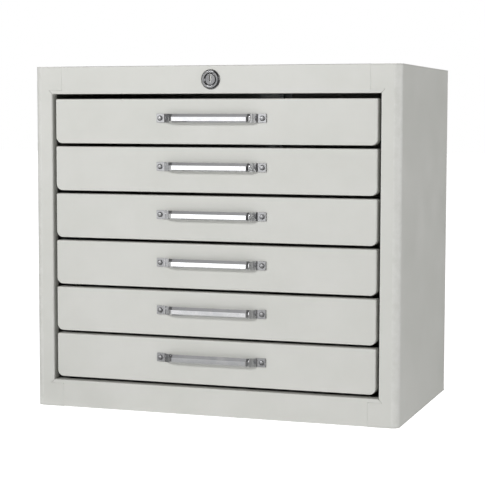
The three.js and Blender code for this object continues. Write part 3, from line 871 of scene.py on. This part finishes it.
# %% Floor
floor_mesh = bmesh.new()
bmesh.ops.create_grid(floor_mesh, x_segments=1, y_segments=1, size=12.0)
floor_data = bpy.data.meshes.new("pale_floor")
floor_mesh.to_mesh(floor_data)
floor_mesh.free()
floor = bpy.data.objects.new("pale_floor", floor_data)
bpy.context.scene.collection.objects.link(floor)
floor_finish, floor_tree, floor_shader = start_finish("pale floor")
floor_shader.inputs["Base Color"].default_value = (0.3, 0.3, 0.3, 1.0)
floor_shader.inputs["Roughness"].default_value = 0.9
floor_shader.inputs["Specular IOR Level"].default_value = 0.1
floor_shader.inputs["Emission Color"].default_value = (1.0, 1.0, 1.0, 1.0)
looks = add_node(floor_tree, "LightPath").outputs
seen_white = combine(floor_tree, "MULTIPLY", looks["Is Camera Ray"], 1.1)
bounce = combine(floor_tree, "MULTIPLY", looks["Is Diffuse Ray"], 0.85)
spot = add_node(floor_tree, "SeparateXYZ", _0=add_node(floor_tree, "TexCoord").outputs["Object"]).outputs
ahead = window(floor_tree, spot["Y"], -0.35, -0.6, 0.0, 0.55)
leftward = window(floor_tree, spot["X"], 0.15, -0.05)
far_glow = combine(floor_tree, "MULTIPLY", ahead, leftward)
mirrored = combine(floor_tree, "MULTIPLY", looks["Is Glossy Ray"], far_glow)
glow = combine(floor_tree, "ADD", combine(floor_tree, "ADD", seen_white, bounce), mirrored)
floor_tree.links.new(glow, floor_shader.inputs["Emission Strength"])
floor_data.materials.append(floor_finish)

# %% Light
def add_panel(name, place, aim, width, height, watts):
    """A rectangular light that shines from a place towards a point."""
    lamp = bpy.data.lights.new(name, "AREA")
    lamp.shape = "RECTANGLE"
    lamp.size = width
    lamp.size_y = height
    lamp.energy = watts
    panel = bpy.data.objects.new(name, lamp)
    panel.location = place
    panel.rotation_euler = (Vector(aim) - Vector(place)).to_track_quat("-Z", "Y").to_euler()
    panel.visible_camera = False
    bpy.context.scene.collection.objects.link(panel)
    return panel


CENTRE = Vector((0, 0, (TOP + BOTTOM) / 2))


def around(azimuth, height, distance):
    """A point seen from the middle of the case: degrees to the right of straight ahead, and above level."""
    turn, lift = math.radians(azimuth), math.radians(height)
    flat = math.cos(lift) * distance
    return CENTRE + Vector((math.sin(turn) * flat, -math.cos(turn) * flat, math.sin(lift) * distance))


add_panel("front_key", around(-20, 22, 3.0), CENTRE, 0.9, 0.6, 41.5)
add_panel("right_fill", around(92, 12, 2.2), CENTRE, 1.6, 1.2, 14.5)
add_panel("high_card", around(-10, 54, 3.0), CENTRE, 1.7, 2.3, 3.2)
card = add_panel("level_card", (-0.76, -2.2, 0.22), CENTRE, 1.4, 1.5, 7.5)
card.rotation_euler = (math.radians(162), 0, math.radians(-19))

world = bpy.data.worlds.new("white room")
bpy.context.scene.world = world
world.use_nodes = True
sky = world.node_tree
backdrop = sky.nodes["Background"]
backdrop.inputs["Color"].default_value = (1.0, 1.0, 1.0, 1.0)
backdrop.inputs["Strength"].default_value = 1.0
dim = add_node(sky, "Background", Color=(0.88, 0.87, 0.87, 1.0), Strength=0.13)
seen = add_node(sky, "LightPath").outputs["Is Camera Ray"]
chosen = add_node(sky, "MixShader", _0=seen, _1=dim.outputs[0], _2=backdrop.outputs[0])
sky.links.new(chosen.outputs[0], sky.nodes["World Output"].inputs["Surface"])
bpy.context.scene.view_settings.view_transform = "Standard"

# %% Camera
camera_data = bpy.data.cameras.new("front_right_view")
camera = bpy.data.objects.new("front_right_view", camera_data)
bpy.context.scene.collection.objects.link(camera)
camera_data.sensor_width = 36
camera_data.lens = 112.19
camera.location = (0.5330, -1.5799, 0.3119)
camera.rotation_euler = (math.radians(90 - 4.645), math.radians(-0.117), math.radians(18.776))
bpy.context.scene.camera = camera
